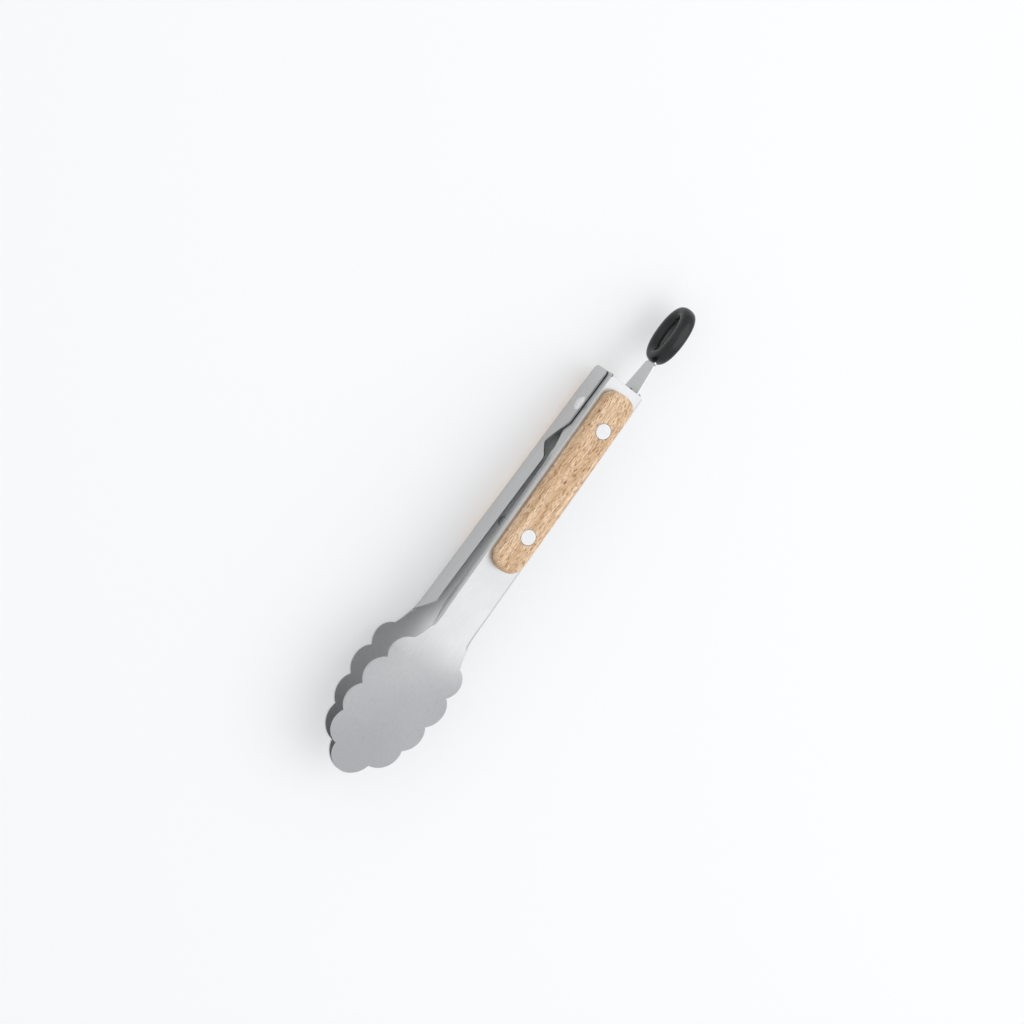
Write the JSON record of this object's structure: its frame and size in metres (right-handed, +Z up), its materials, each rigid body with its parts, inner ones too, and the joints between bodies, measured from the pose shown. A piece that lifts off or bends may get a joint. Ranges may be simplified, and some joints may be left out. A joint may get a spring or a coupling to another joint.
{
  "type": "spring loaded kitchen tongs",
  "caption": "Scallop-headed kitchen tongs: pressed steel arms with riveted wooden scales on a sprung pivot, held shut by a sliding lock tab with an oval rubber pull ring.",
  "frame": {"origin": "on the resting plane, which is the outer face of the lower handle scale, straight below the pivot pin's axis", "axes": "+X along the lower arm's web from the heads towards the pull ring, +Y along the pivot pin's axis, away from the lock tab, +Z up from the resting plane towards the upper arm"},
  "size_m": [0.2771, 0.0482, 0.0408],
  "materials": {
    "arm_steel": "satin stainless sheet, brushed along the arm",
    "handle_wood": "pale open-pored hardwood, oiled, grain along the arm",
    "rivet_steel": "ground flush, bright",
    "pin_steel": "bright domed heads",
    "spring_wire": "drawn spring wire",
    "tab_steel": "satin stainless plate",
    "ring_rubber": "black moulded rubber, soft sheen"
  },
  "bodies": {
    "lower_half": {"lower_arm": "arm_steel", "lower_handle_scale": "handle_wood", "lower_rear_rivet": "rivet_steel", "lower_front_rivet": "rivet_steel", "pivot_pin": "pin_steel"},
    "upper_half": {"upper_arm": "arm_steel", "upper_handle_scale": "handle_wood", "upper_rear_rivet": "rivet_steel", "upper_front_rivet": "rivet_steel"},
    "spring": {"torsion_spring": "spring_wire"},
    "lock": {"lock_tab": "tab_steel", "ring_grip": "ring_rubber"}
  },
  "joints": [
    {"name": "arm_open", "type": "hinge", "parent": "lower_half", "child": "upper_half", "pos_m": [0, 0, 0.018], "axis": [0, 1, 0], "range_deg": [0, 18]},
    {"name": "spring_turn", "type": "hinge", "parent": "lower_half", "child": "spring", "pos_m": [0, 0, 0.018], "axis": [0, 1, 0], "range_deg": [0, 9.1], "deforming": ["torsion_spring"]},
    {"name": "lock_slide", "type": "slide", "parent": "spring", "child": "lock", "axis": [0.9996, 0, -0.0287], "range_m": [-0.0127, 0]}
  ],
  "couplings": [
    {"joint": "spring_turn", "follows": "arm_open", "ratio": 0.5},
    {"joint": "lock_slide", "follows": "arm_open", "m_per_rad": -0.0401}
  ]
}
